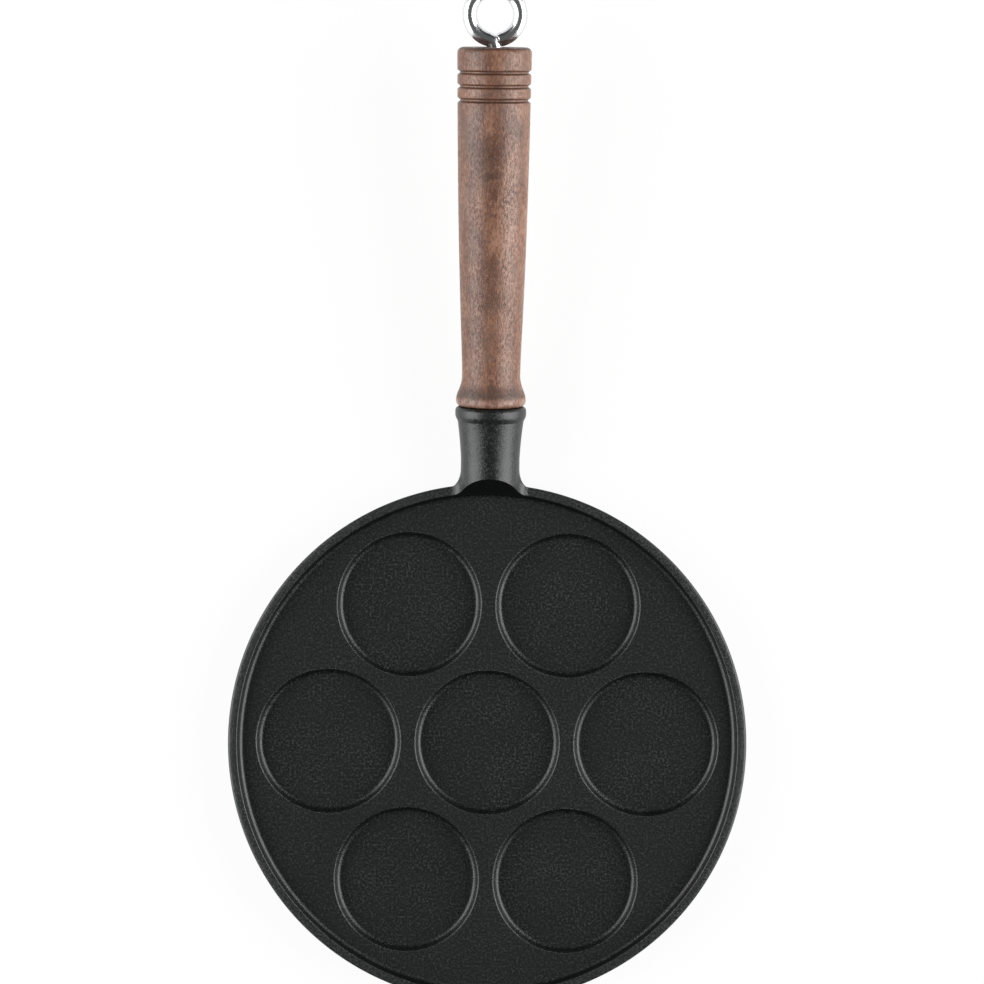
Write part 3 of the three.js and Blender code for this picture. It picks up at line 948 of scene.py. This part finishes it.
# Painted shade: the hollow behind the bead is darkened; the same band also dulls it a little.
hollow_band = span(far, *HOLLOW_STARTS) * span(far + HOLLOW_WANDER * centred(figure), *HOLLOW_ENDS)
rim_only = span(far, *RUB_ENDS) * span(far, *RUB_STARTS)
# Painted highlight: the bead's rim is painted pale; the same mask makes it a little glossier.
wear_and_sheen = rim_only * span(figure + RUB_FRAY * centred(flecks), *RUB_FIGURE)
hollow_shaded = blend_colours(HOLLOW_SHADE_SHARE * hollow_band, stained, WOOD_PAINTED_SHADE)
rubbed = blend_colours(PAINTED_SHEEN_SHARE * wear_and_sheen, hollow_shaded, WOOD_PAINTED_SHEEN)
dullness = PORE_DULL * pores + GRIME_DULL * hollow_band - RUB_SHINE * wear_and_sheen
fibre_relief = FLECK_RELIEF * flecks + STREAK_RELIEF * streaks - PORE_RELIEF * pores
feed(
    walnut, walnut_shader,
    Base_Color=blend_colours(cut, rubbed, WOOD_STAIN),
    Roughness=span(flecks, *WOOD_GLOSS) + dullness,
    Normal=bump(fibre_relief, WOOD_RELIEF),
)

# %% [markdown]
# ## Bright steel
# The rod is plated and close to a mirror. Drawing it through a die leaves hair lines along the wire,
# too fine to model, so a low, fine bump and a little change in roughness stand for them.

# %% Bright steel
STEEL_PLATED = (0.78, 0.79, 0.8, 1)
HAIR_LINE = 0.35 * MM
HAIR_RELIEF = 0.0005 * MM
STEEL_GLOSS = (0.3, 0.7, 0.2, 0.25)

steel, steel_shader = new_finish("bright_plated_steel", {"Metallic": 1.0, "Base Color": STEEL_PLATED})
hair_lines = noise(object_place(steel.node_tree), HAIR_LINE)
feed(
    steel, steel_shader,
    Roughness=span(hair_lines, *STEEL_GLOSS),
    Normal=bump(hair_lines, HAIR_RELIEF),
)

# %% [markdown]
# ## Dressing the frame
# Each skin takes its finish, rides on the body that carries it, and stands in for the solid of its node.
# From here on the skin moves when the frame's joint does.

# %% Dressing the frame
dress(pan, "pan_casting", "pan", iron)
dress(grip_wood, "handle_grip", "grip", walnut)
dress(eye_rod, "eye_rod", "eye", steel)

# %% [markdown]
# ## Floor
# The photograph is a plain catalogue picture on white ground. The floor is white to the camera and in
# reflections, and a small share of it stays real, so the pan keeps a shadow. That share fades out away
# from the pan, so the floor runs into the white background without an edge.

# %% Floor
FLOOR_SIZE = 6.0
FLOOR_SHADOW = 0.08
SHADOW_REACH = 0.5
SHADOW_GONE = 0.85
GROUND_WHITE = (0.9, 0.9, 0.9, 1)
WHITE = (1, 1, 1, 1)

floor_mesh = bmesh.new()
bmesh.ops.create_grid(floor_mesh, x_segments=1, y_segments=1, size=FLOOR_SIZE / 2)
floor = new_object("floor", floor_mesh)

ground_finish, ground_shader = new_finish("white_ground", {"Base Color": GROUND_WHITE, "Roughness": 0.8})
tree = ground_finish.node_tree
ray = tree.nodes.new("ShaderNodeLightPath")
seen = Tint(tree, ray.outputs["Is Camera Ray"]) + Tint(tree, ray.outputs["Is Glossy Ray"])
glow = seen.node("ShaderNodeEmission", {}, {"Color": WHITE, "Strength": 1.0})
plain = Tint(tree, ground_shader.outputs[0])
shadowed = span(length_of(object_place(tree)), SHADOW_GONE, SHADOW_REACH, 0.0, FLOOR_SHADOW)
mixed = seen.node("ShaderNodeMixShader", {}, {0: seen * (1 - shadowed), 1: plain, 2: glow})
tree.links.new(mixed.socket, tree.nodes["Material Output"].inputs["Surface"])
floor.data.materials.append(ground_finish)
print("shadow gone", SHADOW_GONE, "m from the pan's middle")

# %% [markdown]
# ## Studio light
# One wide soft light stands on each side, and nothing hangs overhead. That dark gap overhead is what
# draws the dark line down the neck and the wire. The room itself gives only a little fill, and is white
# to the camera alone.

# %% Studio light
FILL_OVERHEAD = 0.09
FILL_AROUND = 0.02
FILL_CLIMB = (0.3, 0.95)
LIGHT_AWAY = 0.95
LIGHT_NEAR_END = -0.47
LIGHT_FAR_END = 0.7
LIGHT_LOW = 0.03
LIGHT_HIGH = 1.25
LEFT_POWER = 23.4
RIGHT_POWER = 27

world = bpy.data.worlds.new("studio")
world.use_nodes = True
bpy.context.scene.world = world
room = world.node_tree
ray = room.nodes.new("ShaderNodeLightPath")
seen = Tint(room, ray.outputs["Is Camera Ray"])
room.nodes["Background"].inputs["Color"].default_value = WHITE
direction = seen.node("ShaderNodeTexCoord", {}, {}, "Generated")
fill = span(part_of(direction, "Z"), *FILL_CLIMB, FILL_AROUND, FILL_OVERHEAD)
room.links.new((fill + (1 - fill) * seen).socket, room.nodes["Background"].inputs["Strength"])

light_along = (LIGHT_FAR_END + LIGHT_NEAR_END) / 2
light_height = (LIGHT_LOW + LIGHT_HIGH) / 2
for side, power in ((-1, LEFT_POWER), (1, RIGHT_POWER)):
    lamp = bpy.data.lights.new("side_light", "AREA")
    lamp.shape = "RECTANGLE"
    lamp.size = LIGHT_FAR_END - LIGHT_NEAR_END
    lamp.size_y = LIGHT_HIGH - LIGHT_LOW
    lamp.energy = power
    panel = bpy.data.objects.new("side_light", lamp)
    panel.location = (side * LIGHT_AWAY, light_along, light_height)
    panel.rotation_euler = (math.pi / 2, 0, side * math.pi / 2)
    panel.visible_camera = False
    bpy.context.scene.collection.objects.link(panel)
print("two side lights", round(2 * LIGHT_AWAY, 2), "m apart")

# %% [markdown]
# ## Camera
# The picture is taken from straight above, from so far that the wells' walls just show. The lens
# follows from the distance and from how many millimetres one pixel covers on the rim.

# %% Camera
IMAGE_PIXELS = 984
MM_PER_PIXEL = 0.4431
CAMERA_ABOVE_RIM = 1.65
CAMERA_FOOT = Vector((0.95 * MM, 111.35 * MM))
CAMERA_TURN = math.radians(0.63)

lens = bpy.data.cameras.new("studio_camera")
lens.lens = lens.sensor_width * CAMERA_ABOVE_RIM / (IMAGE_PIXELS * MM_PER_PIXEL * MM)
camera = bpy.data.objects.new("studio_camera", lens)
camera.location = (*CAMERA_FOOT, RIM_TOP + CAMERA_ABOVE_RIM)
camera.rotation_euler = (0, 0, CAMERA_TURN)
bpy.context.scene.collection.objects.link(camera)
bpy.context.scene.camera = camera
bpy.context.scene.view_settings.view_transform = "Standard"
print("lens", round(lens.lens, 1), "mm")
